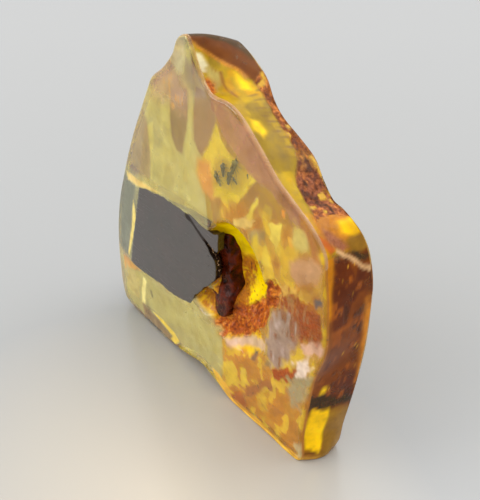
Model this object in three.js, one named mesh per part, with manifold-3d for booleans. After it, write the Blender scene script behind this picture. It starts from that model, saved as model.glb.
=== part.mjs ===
// A beetle in amber: a hand-polished slab of amber that stands on its lower edge, with the remains
// of a large beetle ground flush with the polished face. The beetle's tail end lies open in a
// natural pit.
// Millimetres, +Z up. The polished face looks along -Y, and the origin is on the ground under the
// middle of the slab.
import * as THREE from "three";
import { mergeVertices } from "three/addons/utils/BufferGeometryUtils.js";
import Module from "manifold-3d";

const wasm = await Module();
wasm.setup();

// ---- Driving dimensions --------------------------------------------------------------------------
const CENTRE_X = -1.1; // middle of the slab's box, in the coordinates of the outlines below
const CENTRE_Y = 3.74;
const STEPS_PER_POINT = 2; // mesh corners for each outline point
const FACE_RINGS = 15;
const BACK_RINGS = 8;
const BAND_RINGS = 5;
const FACE_CROWN = 0.4; // how far the polished face is crowned
const BACK_CROWN = 2.0; // and the natural back
const RIM_RADIUS = 0.35; // rounding where the face meets the thick edge
const HEEL_SWELL = 1.0; // how far the thick edge bulges at the foot of the right side
const CREST_SWELL = 0.5; // and along the top
const CLEARANCE = 0.3; // between touching solids
const WING_CASE_THICKNESS = 1.0;
const ABDOMEN_DEPTH = 3.0;
const PIT_MIDDLE = [5.0, 17.0]; // the rings of both faces close here

// Where the polished face ends: x, z.
const FACE_RIM = [
  [16.6, 0.0], [16.9, 4.2], [17.3, 8.4], [17.9, 12.7], [19.1, 17.0], [18.9, 21.7], [18.4, 25.1],
  [18.0, 27.4], [16.4, 29.2], [14.4, 30.5], [13.2, 31.2], [11.6, 32.2], [9.8, 33.8], [8.4, 35.0],
  [6.4, 36.5], [4.7, 37.1], [2.1, 37.3], [0.2, 39.1], [-0.9, 40.9], [-1.7, 41.8], [-3.1, 41.3],
  [-4.1, 39.6], [-6.0, 37.7], [-8.3, 36.1], [-9.4, 34.6], [-11.8, 31.1], [-13.9, 28.0],
  [-16.2, 24.1], [-18.0, 20.6], [-19.8, 16.9], [-21.0, 12.9], [-21.4, 9.4], [-21.2, 6.2],
  [-20.6, 3.0], [-18.8, 0.6], [-15.6, 0.0], [-11.6, 0.0], [-7.6, 0.4], [-4.0, 1.2], [-0.8, 1.9],
  [2.0, 1.2], [4.8, 0.1], [8.0, 0.0], [12.0, 0.0],
];
// Where the natural back ends, point for point beside FACE_RIM: x, z, y.
const BACK_RIM = [
  [17.3, 0.0, 4.9], [18.0, 4.0, 5.3], [18.5, 8.4, 5.6], [18.9, 12.7, 5.8], [19.1, 17.0, 5.9],
  [19.2, 21.7, 5.8], [18.9, 25.3, 5.3], [18.2, 27.4, 5.0], [17.2, 28.8, 4.6], [15.8, 29.5, 4.6],
  [14.5, 29.9, 4.6], [13.0, 31.2, 4.7], [11.2, 32.6, 5.1], [8.8, 33.9, 5.2], [6.8, 35.1, 5.2],
  [5.1, 36.4, 5.4], [3.5, 37.8, 5.8], [2.0, 39.0, 5.8], [0.6, 39.9, 5.8], [-0.8, 40.5, 5.6],
  [-2.4, 39.8, 5.8], [-4.0, 38.4, 6.0], [-6.0, 36.8, 6.0], [-7.8, 34.9, 6.1], [-9.4, 32.6, 6.2],
  [-11.4, 29.6, 6.2], [-13.6, 26.4, 6.1], [-15.8, 22.9, 6.0], [-17.6, 19.4, 5.8],
  [-19.0, 15.8, 5.6], [-20.0, 12.2, 5.5], [-20.4, 8.8, 5.4], [-20.2, 5.6, 5.3],
  [-19.4, 2.6, 5.4], [-17.8, 0.5, 5.6], [-15.0, 0.0, 5.8], [-11.4, 0.0, 6.2], [-7.6, 0.2, 6.5],
  [-4.0, 0.9, 6.6], [-0.8, 1.4, 6.6], [2.0, 0.8, 6.5], [5.0, 0.0, 6.3], [8.6, 0.0, 6.0],
  [13.0, 0.0, 5.4],
];
// The bowls that make up the natural pit: middle x, z, half width, half height, depth.
const PIT_BOWLS = [
  [5.7, 18.2, 5.2, 6.6, 3.4],
  [5.3, 12.3, 5.6, 3.4, 1.3],
  [0.6, 12.6, 3.0, 2.2, 1.8],
];
// Outlines of the beetle's pieces on the polished face: x, z. They start beyond the slab's left
// end, which cuts them.
const LARGE_WING_CASE = [
  [-24.0, 19.6], [-17.9, 19.9], [-13.8, 21.1], [-10.3, 21.8], [-7.1, 22.2], [-4.5, 22.3],
  [-3.3, 22.0], [-1.4, 21.3], [0.0, 20.4], [1.7, 19.2], [3.0, 18.1], [3.7, 17.0], [2.4, 15.5],
  [0.9, 14.4], [0.2, 13.3], [-1.0, 12.6], [-1.7, 11.4], [-2.4, 10.3], [-5.2, 9.4], [-8.5, 9.0],
  [-12.0, 8.5], [-14.5, 8.3], [-17.8, 8.6], [-24.0, 8.8],
];
const SPLIT_WING_CASE = [
  [-2.8, 22.6], [-0.7, 22.5], [1.0, 22.1], [3.0, 22.3], [2.8, 20.8], [2.6, 19.6], [1.9, 19.6],
  [0.4, 20.7], [-1.1, 21.6],
];
const ABDOMEN = [
  [-24.0, 19.2], [-16.0, 20.0], [-8.0, 21.2], [-4.0, 21.8], [-1.0, 21.9], [1.6, 21.9], [3.2, 21.4],
  [3.7, 19.8], [4.0, 17.2], [4.2, 14.6], [3.7, 12.4], [2.6, 11.7], [1.4, 12.8], [-0.4, 13.2],
  [-2.6, 12.0], [-5.4, 10.8], [-9.0, 10.2], [-16.0, 9.8], [-24.0, 10.4],
];
const ABDOMEN_MIDDLE = [-3.0, 17.0];

// ---- Shapes --------------------------------------------------------------------------------------
const softStep = (d) => 0.5 * (d + Math.hypot(d, 0.5)); // 0 below a ridge, d above it, with a rounded ridge

// How far back the polished face lies at x, z: a low crown, a tilted facet at the left end, and a
// bevel at the foot of the left side.
function faceDepth(x, z) {
  const crown = -FACE_CROWN * (1 - ((x + 1) / 21) ** 2 - ((z - 16) / 27) ** 2);
  const leftFacet = 0.19 * softStep(-0.95 * (x + 14.3) + 0.31 * (z - 16.5));
  const footBevel = (0.35 * softStep(1.2 - z)) / (1 + Math.exp(x / 2));
  return crown + leftFacet + footBevel;
}

function pitDepth(x, z) {
  let deepest = 0;
  for (const [midX, midZ, halfX, halfZ, depth] of PIT_BOWLS) {
    const inside = 1 - ((x - midX) / halfX) ** 2 - ((z - midZ) / halfZ) ** 2;
    if (inside > 0) deepest = Math.max(deepest, depth * inside ** 0.75);
  }
  return deepest;
}

// Points on a smooth closed curve through an outline's points.
function smoothRim(points) {
  const curve = new THREE.CatmullRomCurve3(
    points.map(([x, z, y = 0]) => new THREE.Vector3(x, y, z)), true, "centripetal");
  const steps = points.length * STEPS_PER_POINT;
  return Array.from({ length: steps }, (_, i) => curve.getPoint(i / steps));
}

// A closed solid from rings of points with a pole at each end. Rings run anticlockwise seen from the front.
function loft(frontPole, rings, backPole) {
  const n = rings[0].length;
  const positions = [frontPole, ...rings.flat(), backPole].flatMap((p) => [p.x, p.y, p.z]);
  const at = (ring, i) => 1 + ring * n + (i % n);
  const last = rings.length * n + 1;
  const index = [];
  for (let i = 0; i < n; i++) {
    index.push(0, at(0, i), at(0, i + 1));
    index.push(last, at(rings.length - 1, i + 1), at(rings.length - 1, i));
    for (let r = 0; r + 1 < rings.length; r++) {
      index.push(at(r, i), at(r + 1, i), at(r + 1, i + 1));
      index.push(at(r, i), at(r + 1, i + 1), at(r, i + 1));
    }
  }
  const geometry = new THREE.BufferGeometry();
  geometry.setAttribute("position", new THREE.Float32BufferAttribute(positions, 3));
  geometry.setIndex(index);
  return geometry;
}

// The amber slab before the beetle's pocket is cut: a polished face, a thick edge and a crowned back.
function slabGeometry(withPit) {
  const [poleX, poleZ] = PIT_MIDDLE;
  const pit = withPit ? pitDepth : () => 0;
  const onFace = (x, z) => new THREE.Vector3(x, faceDepth(x, z) + pit(x, z), Math.max(z, 0));
  const faceRim = smoothRim(FACE_RIM);
  const backRim = smoothRim(BACK_RIM);
  const rings = [];
  for (let r = 1; r <= FACE_RINGS; r++) {
    const out = (r / FACE_RINGS) * 0.985;
    rings.push(faceRim.map((p) => onFace(poleX + (p.x - poleX) * out, poleZ + (p.z - poleZ) * out)));
  }
  for (let r = 0; r <= BAND_RINGS; r++) {
    const t = r / BAND_RINGS;
    rings.push(faceRim.map((p, i) => {
      const front = onFace(p.x, p.z);
      front.y += RIM_RADIUS;
      const q = front.lerp(backRim[i], t);
      const swell = Math.sin(Math.PI * t);
      const heel = q.x > 8 ? Math.max(1 - q.z / 20, 0) ** 2 : 0;
      const crest = Math.max(q.z - 37, 0) / 5;
      q.x += HEEL_SWELL * swell * heel;
      q.z = Math.max(q.z + CREST_SWELL * swell * crest, 0);
      return q;
    }));
  }
  const crownAt = (out) => BACK_CROWN * (1 - out ** 2);
  for (let r = 1; r < BACK_RINGS; r++) {
    const out = 1 - r / BACK_RINGS;
    rings.push(backRim.map((p) => new THREE.Vector3(
      poleX + (p.x - poleX) * out, 5.8 + (p.y - 5.8) * out + crownAt(out), poleZ + (p.z - poleZ) * out)));
  }
  const backPole = new THREE.Vector3(poleX, 5.8 + BACK_CROWN, poleZ);
  return loft(onFace(poleX, poleZ), rings, backPole);
}

// A straight prism over an outline, from y = front to y = back.
function prismGeometry(outline, front, back) {
  const shape = new THREE.Shape(outline.map(([x, z]) => new THREE.Vector2(x, z)));
  const geometry = new THREE.ExtrudeGeometry(shape, { depth: back - front, bevelEnabled: false });
  return geometry.rotateX(Math.PI / 2).translate(0, back, 0);
}

// An outline that is wider all round by gap.
function widened(outline, gap) {
  const n = outline.length;
  return outline.map(([x, z], i) => {
    const [ax, az] = outline[(i + n - 1) % n];
    const [bx, bz] = outline[(i + 1) % n];
    const length = Math.hypot(bx - ax, bz - az);
    return [x - (gap * (bz - az)) / length, z + (gap * (bx - ax)) / length];
  });
}

// The abdomen: flat under the wing cases, rounded behind, a little thicker at the tail.
function abdomenGeometry(gap) {
  const [midX, midZ] = ABDOMEN_MIDDLE;
  const rim = smoothRim(widened(ABDOMEN, gap).reverse());
  const top = (x, z) => faceDepth(x, z) + WING_CASE_THICKNESS + CLEARANCE - gap;
  const ring = (out, depth) => rim.map((p) => {
    const x = midX + (p.x - midX) * out;
    const z = midZ + (p.z - midZ) * out;
    return new THREE.Vector3(x, top(x, z) + depth, z);
  });
  const full = ABDOMEN_DEPTH + 2 * gap;
  const rings = [ring(0.5, 0), ring(1, 0), ring(1, 0.45 * full)];
  for (const out of [0.92, 0.8, 0.6, 0.35]) {
    rings.push(ring(out, full * (0.45 + 0.55 * Math.sqrt(1 - out ** 2))));
  }
  return loft(new THREE.Vector3(midX, top(midX, midZ), midZ), rings,
    new THREE.Vector3(midX, top(midX, midZ) + full, midZ));
}

// ---- Solids --------------------------------------------------------------------------------------
function solid(geometry) {
  const bare = geometry.clone();
  bare.deleteAttribute("normal");
  bare.deleteAttribute("uv");
  const merged = mergeVertices(bare, 1e-4);
  return new wasm.Manifold(new wasm.Mesh({
    numProp: 3,
    vertProperties: new Float32Array(merged.attributes.position.array),
    triVerts: new Uint32Array(merged.index.array),
  }));
}

function geometryOf(manifold) {
  const mesh = manifold.getMesh();
  const geometry = new THREE.BufferGeometry();
  geometry.setAttribute("position", new THREE.BufferAttribute(new Float32Array(mesh.vertProperties), 3));
  geometry.setIndex(new THREE.BufferAttribute(new Uint32Array(mesh.triVerts), 1));
  geometry.computeVertexNormals();
  return geometry;
}

const unpittedSlab = solid(slabGeometry(false));
const pittedSlab = solid(slabGeometry(true));
const underSkin = (depth) => unpittedSlab.translate([0, depth, 0]);
const prism = (outline) => solid(prismGeometry(outline, -3, 12));

// The wing cases are the outer skin of the slab over their outlines, so they lie flush with the
// polished face.
function wingCase(outline) {
  return unpittedSlab.intersect(prism(outline)).subtract(underSkin(WING_CASE_THICKNESS));
}

function beetleAbdomen() {
  return solid(abdomenGeometry(0)).intersect(unpittedSlab);
}

// The slab with the beetle's pocket; the crumbs left between the three overlapping cuts are dropped.
function amberSlab() {
  const cased = WING_CASE_THICKNESS + CLEARANCE;
  const skinPocket = (outline) => prism(widened(outline, CLEARANCE)).subtract(underSkin(cased));
  const bodies = pittedSlab
    .subtract(skinPocket(LARGE_WING_CASE))
    .subtract(skinPocket(SPLIT_WING_CASE))
    .subtract(solid(abdomenGeometry(CLEARANCE)))
    .decompose();
  return bodies.reduce((largest, body) => (body.volume() > largest.volume() ? body : largest));
}

// ---- The part ------------------------------------------------------------------------------------
const amber = new THREE.MeshStandardMaterial({ color: 0xd98a12, roughness: 0.08, metalness: 0 });
const darkShell = new THREE.MeshStandardMaterial({ color: 0x2a211d, roughness: 0.2, metalness: 0 });
const redBrownShell = new THREE.MeshStandardMaterial({ color: 0x3a0f08, roughness: 0.35, metalness: 0 });

const part = new THREE.Group();
part.position.set(-CENTRE_X, -CENTRE_Y, 0);

function place(name, manifold, material) {
  const mesh = new THREE.Mesh(geometryOf(manifold), material);
  mesh.name = name;
  part.add(mesh);
}

place("amber", amberSlab(), amber);
place("large_wing_case", wingCase(LARGE_WING_CASE), darkShell);
place("split_wing_case", wingCase(SPLIT_WING_CASE), darkShell);
place("abdomen", beetleAbdomen(), redBrownShell);

export default part;
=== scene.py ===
"""A beetle in amber: a hand-polished slab standing on its lower edge, with the remains of a large
beetle ground flush with its face, six gnats sealed in it, and rough natural crust on its edges and
back."""

import bmesh
import bpy
import numpy as np
from mathutils import Matrix, Vector


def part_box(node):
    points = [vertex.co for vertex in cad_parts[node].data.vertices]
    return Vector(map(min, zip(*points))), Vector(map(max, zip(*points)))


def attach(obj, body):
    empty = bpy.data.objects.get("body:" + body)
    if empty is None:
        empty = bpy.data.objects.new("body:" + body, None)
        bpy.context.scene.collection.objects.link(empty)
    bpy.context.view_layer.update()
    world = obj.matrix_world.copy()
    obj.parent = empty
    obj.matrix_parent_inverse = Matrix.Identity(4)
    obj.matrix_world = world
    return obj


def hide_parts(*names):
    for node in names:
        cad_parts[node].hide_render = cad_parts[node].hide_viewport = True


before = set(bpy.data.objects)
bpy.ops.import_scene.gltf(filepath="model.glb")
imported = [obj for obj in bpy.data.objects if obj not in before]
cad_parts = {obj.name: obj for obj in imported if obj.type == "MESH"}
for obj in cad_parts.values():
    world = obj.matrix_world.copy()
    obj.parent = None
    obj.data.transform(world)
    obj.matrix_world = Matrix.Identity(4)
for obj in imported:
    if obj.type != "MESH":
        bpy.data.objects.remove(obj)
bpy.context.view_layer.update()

# ---- The slab ---------------------------------------------------------------------------------------
# One lump of fossil resin. The front is ground flat and polished, with a tilted facet at the left end
# and a natural pit open to the right of the beetle. The thick edge and the back are natural skin.
# Sizes and places are in millimetres: x along the foot, y into the slab, z up.
MM = 0.001
RIGHT_OF_MIDDLE = 1.1  # from the middle of the CAD slab's box to x = 0
BEHIND_FRONT = 0.398  # from the front of that box to y = 0
low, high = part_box("amber")
FOOT = Vector(((low.x + high.x) / 2 + RIGHT_OF_MIDDLE * MM, low.y + BEHIND_FRONT * MM, low.z))
MOST_X, HEIGHT = 19.18, 41.8  # just inside the CAD slab's right end and top
AROUND = 440  # points round a row
FACE_ROWS, TURN_ROWS, EDGE_ROWS, BACK_ROWS = 120, 7, 32, 60
FACE_CROWN = 0.37
FACET_SLOPE = 0.19
BEVEL_SLOPE = 0.35
FACE_EDGE = 0.35  # rounding between the face and the thick edge
BACK_DEPTH = 5.8
BACK_CROWN = 1.85
HEEL_HEIGHT = 20  # the thick edge swells below it, at the right
CREST_FOOT = 37  # and above it, at the top
PIT_MIDDLE = (5.0, 17.0)

# The front and the back rim of the thick edge, point for point: x, z and, at the back, y.
FACE_RIM = (
    (16.6, 0.0), (16.9, 4.2), (17.3, 8.4), (17.9, 12.7), (19.1, 17.0), (18.9, 21.7), (18.4, 25.1),
    (18.0, 27.4), (16.4, 29.2), (14.4, 30.5), (13.2, 31.2), (11.6, 32.2), (9.8, 33.8), (8.4, 35.0),
    (6.4, 36.5), (4.7, 37.1), (2.1, 37.3), (0.2, 39.1), (-0.9, 40.9), (-1.7, 41.8), (-3.1, 41.3),
    (-4.1, 39.6), (-6.0, 37.7), (-8.3, 36.1), (-9.4, 34.6), (-11.8, 31.1), (-13.9, 28.0),
    (-16.2, 24.1), (-18.0, 20.6), (-19.8, 16.9), (-21.0, 12.9), (-21.4, 9.4), (-21.2, 6.2),
    (-20.6, 3.0), (-18.8, 0.6), (-15.6, 0.0), (-11.6, 0.0), (-7.6, 0.4), (-4.0, 1.2), (-0.8, 1.9),
    (2.0, 1.2), (4.8, 0.1), (8.0, 0.0), (12.0, 0.0),
)
BACK_RIM = (
    (17.3, 0.0, 4.9), (18.0, 4.0, 5.3), (18.5, 8.4, 5.6), (18.9, 12.7, 5.8), (19.1, 17.0, 5.9),
    (19.2, 21.7, 5.8), (18.9, 25.3, 5.3), (18.2, 27.4, 5.0), (17.2, 28.8, 4.6), (15.8, 29.5, 4.6),
    (14.5, 29.9, 4.6), (13.0, 31.2, 4.7), (11.2, 32.6, 5.1), (8.8, 33.9, 5.2), (6.8, 35.1, 5.2),
    (5.1, 36.4, 5.4), (3.5, 37.8, 5.8), (2.0, 39.0, 5.8), (0.6, 39.9, 5.8), (-0.8, 40.5, 5.6),
    (-2.4, 39.8, 5.8), (-4.0, 38.4, 6.0), (-6.0, 36.8, 6.0), (-7.8, 34.9, 6.1), (-9.4, 32.6, 6.2),
    (-11.4, 29.6, 6.2), (-13.6, 26.4, 6.1), (-15.8, 22.9, 6.0), (-17.6, 19.4, 5.8),
    (-19.0, 15.8, 5.6), (-20.0, 12.2, 5.5), (-20.4, 8.8, 5.4), (-20.2, 5.6, 5.3), (-19.4, 2.6, 5.4),
    (-17.8, 0.5, 5.6), (-15.0, 0.0, 5.8), (-11.4, 0.0, 6.2), (-7.6, 0.2, 6.5), (-4.0, 0.9, 6.6),
    (-0.8, 1.4, 6.6), (2.0, 0.8, 6.5), (5.0, 0.0, 6.3), (8.6, 0.0, 6.0), (13.0, 0.0, 5.4),
)


def rounded(points, steps):
    """A smooth closed line through the points."""
    p = np.array(points, float)
    t = np.linspace(0, len(p), steps, endpoint=False)
    f = (t % 1)[:, None]
    a, b, c, d = (p[(t.astype(int) + k) % len(p)] for k in (-1, 0, 1, 2))
    return 0.5 * (2 * b + (c - a) * f + (2 * a - 5 * b + 4 * c - d) * f**2
                  + (3 * b - a - 3 * c + d) * f**3)


CHANCES = 4096  # random values that the lumps are drawn from
MIXERS = (7919, 104729, 1299709)  # primes that turn a cell's place into one number


def lumps(points, size, seed):
    """Smooth random values from -1 to 1, each lump about as wide as size."""
    q = np.asarray(points, float) / size
    cell = np.floor(q).astype(int)
    f = q - cell
    f = f * f * (3 - 2 * f)
    table = np.random.default_rng(seed).uniform(-1, 1, CHANCES)
    total = 0
    for corner in np.ndindex(2, 2, 2):
        key = (cell + corner) * MIXERS
        weight = np.prod(np.where(corner, f, 1 - f), axis=-1)
        total = total + weight * table[np.bitwise_xor.reduce(key, axis=-1) % CHANCES]
    return total


def rise(x, start, end):
    """0 before start, 1 after end, and smooth between them."""
    t = np.clip((x - start) / (end - start), 0, 1)
    return t * t * (3 - 2 * t)


def past(d):
    """0 below a ridge and d above it, with a rounded ridge."""
    return 0.5 * (d + np.hypot(d, 0.3))


def beyond_ridge(x, z):
    """How far a place lies left of the ridge where the left facet starts."""
    return -0.95 * (x + 14.3) + 0.31 * (z - 16.5)


def face_depth(x, z):
    """How far back the polished face lies: a low crown, the left facet and a bevel at the foot."""
    crown = -FACE_CROWN * (1 - ((x + 1) / 21) ** 2 - ((z - 16) / 27) ** 2)
    foot_bevel = BEVEL_SLOPE * past(1.2 - z) / (1 + np.exp(x / 2))
    return crown + FACET_SLOPE * past(beyond_ridge(x, z)) + foot_bevel


# The bowls of the pit: middle x, z, half width, half height, depth. A crusted shelf runs along its
# foot.
PIT_BOWLS = ((5.7, 18.2, 5.2, 6.6, 3.4), (5.3, 12.3, 5.6, 3.4, 1.3), (0.6, 12.6, 3.0, 2.2, 1.8))
PIT_SHELF = (
    (1.8, 11.2), (1.8, 9.6), (3.6, 9.0), (6.5, 10.6), (9.5, 13.2), (11.2, 15.7), (12.3, 18.9),
    (13.2, 20.8), (12.3, 21.4), (11.0, 21.2), (10.0, 20.0), (9.3, 18.1), (7.9, 15.9), (5.9, 13.8),
    (3.8, 13.2),
)


def pit_depth(x, z):
    """How deep the pit is below the face."""
    deepest = 0
    for mid_x, mid_z, half_x, half_z, depth in PIT_BOWLS:
        inside = np.clip(1 - ((x - mid_x) / half_x) ** 2 - ((z - mid_z) / half_z) ** 2, 0, 1)
        deepest = np.maximum(deepest, depth * inside**0.75)
    return deepest


def margin(outline, x, z):
    """Distance to an outline: positive inside it, negative outside."""
    nearest, odd = np.full(np.shape(x), 1e9), np.zeros(np.shape(x), bool)
    for (ax, az), (bx, bz) in zip(outline, outline[1:] + outline[:1]):
        dx, dz = bx - ax, bz - az
        t = np.clip(((x - ax) * dx + (z - az) * dz) / (dx * dx + dz * dz), 0, 1)
        nearest = np.minimum(nearest, np.hypot(x - ax - t * dx, z - az - t * dz))
        odd ^= ((az > z) != (bz > z)) & (x < ax + (z - az) / (dz or 1e-9) * dx)
    return np.where(odd, nearest, -nearest)


class Marks:
    """What covers each point: smooth film, ragged crust, frost on the clear parts, and tint; in places
    the film and its tint are painted glints, glow and shadow.
    """

    def __init__(self, x, z, tint=(1, 1, 1)):
        self.x, self.z = x, z
        self.tint = np.ones(x.shape + (3,)) * tint
        self.film, self.crust, self.frost = (np.zeros(x.shape) for _ in range(3))

    def lay(self, where, tint, soft=0.3, **amounts):
        """Covers a place, which is an outline or a mask, with so much film, crust or frost."""
        mask = where
        if isinstance(where, tuple):
            mask = rise(margin(where, self.x, self.z), -soft / 2, soft / 2)
        before = np.maximum(self.film, self.crust)
        share = mask / np.maximum(mask + (1 - mask) * before * 2, 1e-3)
        self.tint += (np.array(tint) - self.tint) * np.minimum(share, 1)[..., None]
        for name, amount in amounts.items():
            old = getattr(self, name)
            setattr(self, name, old + (amount - old) * mask)


def placed(name, bm):
    """Turns a bmesh into an object at the origin."""
    mesh = bpy.data.meshes.new(name)
    bm.to_mesh(mesh)
    bm.free()
    piece = bpy.data.objects.new(name, mesh)
    bpy.context.scene.collection.objects.link(piece)
    return piece


def mark_layers(bm, marks, keys):
    """Attribute layers of a bmesh, each with the values that go into it."""
    layers = [(bm.verts.layers.float.new(key), getattr(marks, key)) for key in keys]
    layers.append((bm.verts.layers.float_color.new("tint"), np.insert(marks.tint, 3, 1, axis=-1)))
    return layers


def smoothed(name, bm):
    """An object whose faces look outward and are shaded smooth."""
    bmesh.ops.recalc_face_normals(bm, faces=bm.faces)
    for f in bm.faces:
        f.smooth = True
    return placed(name, bm)


def wrap(name, rows, marks=None):
    """A mesh of rows of points laid round a piece, where a row at one point closes that end."""
    bm = bmesh.new()
    count, around = rows.shape[:2]
    bmesh.ops.create_grid(bm, x_segments=around, y_segments=count - 1, size=0.5)
    layers = []
    if marks:
        layers = mark_layers(bm, marks, ("film", "crust", "frost"))
    for v in bm.verts:
        i = round((v.co.x + 0.5) * around) % around
        row = round((v.co.y + 0.5) * (count - 1))
        v.co = FOOT + Vector(rows[row, i]) * MM
        for layer, values in layers:
            v[layer] = values[row, i]
    bmesh.ops.remove_doubles(bm, verts=bm.verts, dist=1e-7)
    return smoothed(name, bm)


# Places on the polished face, x and z, and the colours of what lies on them.
VEIL = (
    (-24, 0.6), (-8.0, 1.4), (0, 2.6), (3.4, 2.2), (4.1, 7.4), (3.6, 9.6), (1.6, 10.4), (1.5, 23),
    (1.0, 28), (0.8, 33), (-0.4, 37), (-0.9, 42), (-24, 42),
)
MAUVE_BAND = (
    (2.4, 37.1), (4.4, 36.9), (7.0, 36.0), (9.6, 34.5), (12.4, 32.2), (15.0, 30.0), (14.8, 28.6),
    (12.8, 29.9), (10.6, 30.9), (8.0, 31.4), (6.4, 32.2), (5.0, 33.4), (3.7, 34.8), (2.5, 36.0),
)
FROSTED_TOP = ((-7.8, 36.4), (-5.0, 38.3), (-3.0, 39.4), (-2.2, 37.4), (-1.0, 36.4), (-2.0, 34.0),
               (-4.2, 34.2), (-5.8, 34.4), (-8.2, 34.0))
FIBRES = (
    (-6.4, 36.6), (-4.4, 38.2), (-3.2, 38.0), (-2.2, 36.4), (-1.0, 35.2), (-1.4, 33.2), (-3.6, 33.0),
    (-5.6, 34.0),
)
GREY_TOP = ((-1.7, 39.8), (0.3, 39.0), (1.5, 37.6), (1.5, 36.6), (-0.7, 36.3), (-1.9, 37.6))
PALE_TIP = ((-4.4, 39.0), (-3.0, 41.4), (-1.9, 41.8), (-1.6, 40.2), (-2.2, 38.4), (-3.2, 37.8))
FAR_TAN = (
    (-17, 22.8), (-15.4, 26), (-13.1, 29.4), (-10.5, 32.0), (-9.3, 30.4), (-9.2, 27.5), (-9.8, 23.4),
)
LOBE_LEFT = (
    (-4.6, 36.0), (-1.6, 37.0), (-1.4, 34.6), (-1.9, 32.3), (-2.8, 29.4), (-3.9, 29.6), (-4.7, 30.8),
    (-4.9, 33.0),
)
LOBE_RIGHT = (
    (-0.2, 37.6), (2.7, 37.6), (3.1, 36.2), (3.2, 34.8), (2.4, 32.7), (1.1, 30.3), (0.1, 30.8),
    (-0.7, 31.9), (-0.7, 34.3),
)
TEARDROP = (
    (3.1, 34.8), (3.8, 33.7), (4.9, 32.6), (5.9, 31.9), (7.4, 31.5), (9.7, 31.8), (8.3, 30.2),
    (7.3, 28.7), (6.2, 27.6), (4.6, 27.1), (2.5, 26.6), (0.6, 27.0), (-0.1, 28.6), (0.8, 30.6),
    (2.0, 32.4),
)
TEARDROP_HEART = ((3.4, 29.4), (5.2, 30.0), (6.6, 29.4), (6.2, 27.9), (4.6, 27.2), (3.2, 27.8))
GNAT_WINDOW = (
    (2.6, 28.2), (2.8, 30.6), (4.6, 31.6), (6.6, 32.0), (8.4, 31.6), (7.0, 29.0), (5.4, 28.4),
)
PEACH = ((0.0, 30.0), (2.0, 30.4), (2.8, 28.6), (2.6, 26.4), (0.8, 26.6), (-0.2, 28.2))
LILAC_PATCH = (
    (11.3, 16.8), (12.7, 18.6), (14.2, 19.5), (15.4, 18.8), (15.7, 16.5), (14.8, 13.9), (13.6, 11.4),
    (11.6, 10.5), (10.9, 12.7),
)
RUSTY = (
    (11.2, 18.6), (12.2, 20.6), (14.0, 21.2), (16.0, 21.4), (17.6, 21.9), (18.9, 21.0), (19.1, 18.0),
    (17.6, 16.8), (15.6, 16.8), (15.0, 18.4), (13.2, 18.6),
)
BAND_END = ((12.0, 31.0), (14.0, 31.9), (14.6, 31.1), (13.9, 29.9), (12.8, 29.8), (12.1, 30.2))
STRIPES = ((11.7, 20.7), (13.5, 22.0), (15.2, 22.4), (15.2, 20.5), (13.9, 19.0), (12.2, 18.6))
# Shards and hazes of the flows right of the beetle: outline, tint, softness.
FLOW_SHARDS = (
    (((5.8, 25.6), (7.5, 26.6), (9.1, 27.0), (8.8, 26.1), (7.2, 25.2), (5.9, 24.8)), (1.0, 0.74, 0.20),
     0.3),
    (((7.9, 26.6), (8.4, 28.1), (9.2, 29.4), (9.7, 29.5), (9.0, 28.1), (8.5, 26.7)), (1.0, 0.80, 0.10),
     0.3),
    (((5.8, 29.0), (6.9, 29.7), (7.2, 28.8), (6.5, 28.0), (5.9, 28.1)), (1.0, 0.80, 0.04), 0.4),
    (((8.1, 25.4), (10.5, 26.4), (10.5, 25.2), (9.0, 24.3), (8.1, 24.4)), (0.56, 0.40, 0.12), 0.6),
    (((8.6, 24.6), (9.4, 25.4), (9.8, 24.0), (9.6, 22.4), (9.2, 22.4)), (1.0, 0.76, 0.03), 0.6),
    (((10.9, 27.4), (13.0, 28.3), (12.8, 27.3), (12.3, 25.6), (12.1, 24.4), (11.8, 25.7), (11.3, 25.8),
     (11.3, 26.7)), (1.0, 0.82, 0.12), 0.2),
    (((10.4, 25.2), (10.8, 24.8), (11.4, 23.8), (11.6, 23.2), (10.3, 22.5), (10.2, 23.9)),
     (1.0, 0.76, 0.06), 0.3),
    (((12.4, 25.8), (12.9, 25.8), (12.8, 24.6), (12.5, 24.6)), (1.0, 0.74, 0.08), 0.2),
    (((13.7, 27.4), (14.3, 27.4), (14.2, 26.4), (13.7, 26.5)), (1.0, 0.55, 0.05), 0.2),
    (((12.5, 29.6), (13.2, 29.6), (13.0, 28.9), (12.6, 28.9)), (0.92, 0.38, 0.04), 0.2),
    (((14.4, 28.6), (16.1, 29.2), (16.5, 28.3), (16.2, 26.9), (14.9, 26.2), (14.2, 27.0)),
     (0.86, 0.72, 0.20), 0.9),
    (((14.2, 25.0), (17.4, 26.9), (18.0, 26.0), (17.6, 24.3), (14.9, 22.7), (14.0, 23.6)),
     (0.74, 0.42, 0.20), 0.9),
    (((13.9, 30.8), (14.9, 30.4), (17.0, 28.4), (17.9, 26.2), (17.2, 26.2), (15.9, 28.4), (14.4, 29.6)),
     (0.60, 0.25, 0.05), 0.6),
)
LOW_GLINT = ((3.7, 5.4), (5.5, 6.8), (6.4, 5.9), (6.4, 3.7), (4.8, 2.4), (3.9, 3.5))
NARROW_GLINT = ((6.9, 6.9), (7.9, 7.6), (8.0, 4.7), (7.1, 4.0))
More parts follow.
